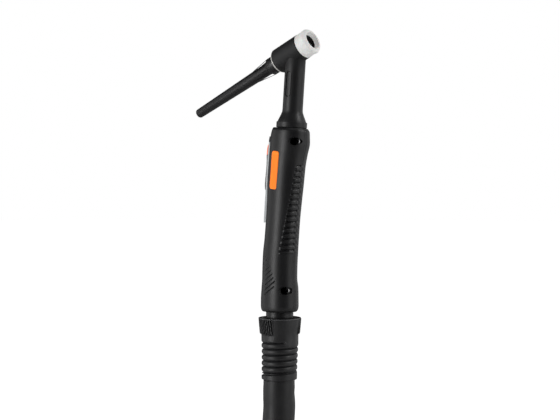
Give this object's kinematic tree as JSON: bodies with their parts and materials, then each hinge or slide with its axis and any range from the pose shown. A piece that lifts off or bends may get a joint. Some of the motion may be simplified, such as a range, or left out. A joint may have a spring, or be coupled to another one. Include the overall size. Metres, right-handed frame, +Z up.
{
  "type": "tig torch",
  "caption": "Gas-cooled TIG welding torch: head with long back cap, insulator, bowed grip with push button, ball-jointed bend relief and coiled cable.",
  "frame": {"origin": "centre of the grip, where its centreline crosses mid-height", "axes": "+Z up the handle to the head, +X to the nozzle side (the push button is on -X), +Y to the left shell; the head and the shells' parting plane lie in Y=0"},
  "size_m": [0.3541, 0.3469, 0.6806],
  "materials": {
    "brass": "machined",
    "head_black": "satin moulded",
    "white_plastic": "smooth",
    "seal_white": "smooth",
    "cap_black": "satin moulded",
    "grip_black": "fine texture",
    "steel": "turned",
    "orange": "smooth",
    "marker_orange": "smooth",
    "switch_grey": "satin",
    "button_black": "smooth",
    "inner_black": "plain",
    "board_green": "plain",
    "hose_black": "plain",
    "stem_black": "smooth",
    "relief_rubber": "satin",
    "cable_black": "satin",
    "tie_black": "woven",
    "lead_black": "satin"
  },
  "bodies": {
    "handle": {"torch_head": "brass", "head_cover": "head_black", "front_insulator": "white_plastic", "handle_shell_left": "grip_black", "handle_shell_right": "grip_black", "handle_screws": "steel", "badge_left": "orange", "badge_right": "orange", "switch_housing": "switch_grey", "blanking_plate": "switch_grey", "microswitch": "inner_black", "switch_board": "board_green", "neck_retainer": "inner_black", "hose_ferrule": "brass", "power_hose": "hose_black", "control_wires": "hose_black", "ball_stem": "stem_black"},
    "cap_seal": {"cap_seal": "seal_white"},
    "back_cap": {"back_cap": "cap_black"},
    "button": {"push_button": "button_black", "button_marker": "marker_orange", "button_spring": "steel"},
    "ball_upper": {"seat_ring_upper": "white_plastic"},
    "ball_lower": {"seat_ring_lower": "white_plastic"},
    "cable": {"bend_relief": "relief_rubber", "cable_drop": "cable_black", "cable_coil": "cable_black", "coil_ties": "tie_black", "end_boot": "relief_rubber", "gas_connector": "brass", "control_lead": "lead_black", "control_plug": "inner_black", "plug_pins": "brass"},
    "connector_nut": {"connector_nut": "brass"},
    "plug_ring": {"plug_ring": "steel"}
  },
  "joints": [
    {"name": "cap_draw", "type": "slide", "parent": "handle", "child": "cap_seal", "axis": [-0.9285, 0, -0.3714], "range_m": [0, 0.01]},
    {"name": "cap_turn", "type": "hinge", "parent": "cap_seal", "child": "back_cap", "pos_m": [-0.00409, 0, 0.13517], "axis": [-0.9285, 0, -0.3714], "range_deg": [0, 2880]},
    {"name": "button_press", "type": "slide", "parent": "handle", "child": "button", "axis": [1, 0, 0], "range_m": [0, 0.0012], "stiffness_N_per_m": 1500},
    {"name": "ball_tilt_fore_aft", "type": "hinge", "parent": "handle", "child": "ball_upper", "pos_m": [-0.00368, 0, -0.0966], "axis": [0, 1, 0], "range_deg": [-12, 12]},
    {"name": "ball_tilt_side", "type": "hinge", "parent": "ball_upper", "child": "ball_lower", "pos_m": [-0.00368, 0, -0.0966], "axis": [1, 0, 0], "range_deg": [-12, 12]},
    {"name": "ball_twist", "type": "hinge", "parent": "ball_lower", "child": "cable", "pos_m": [-0.00368, 0, -0.0966], "axis": [0, 0, 1], "range_deg": [-120, 120]},
    {"name": "nut_turn", "type": "hinge", "parent": "cable", "child": "connector_nut", "pos_m": [0.14182, 0.09, -0.5065], "axis": [0, 1, 0], "continuous": true},
    {"name": "plug_ring_turn", "type": "hinge", "parent": "cable", "child": "plug_ring", "pos_m": [0.15832, 0.17, -0.5095], "axis": [0, 1, 0], "continuous": true}
  ],
  "couplings": [
    {"joint": "cap_turn", "follows": "cap_draw", "rad_per_m": 5026.5}
  ]
}
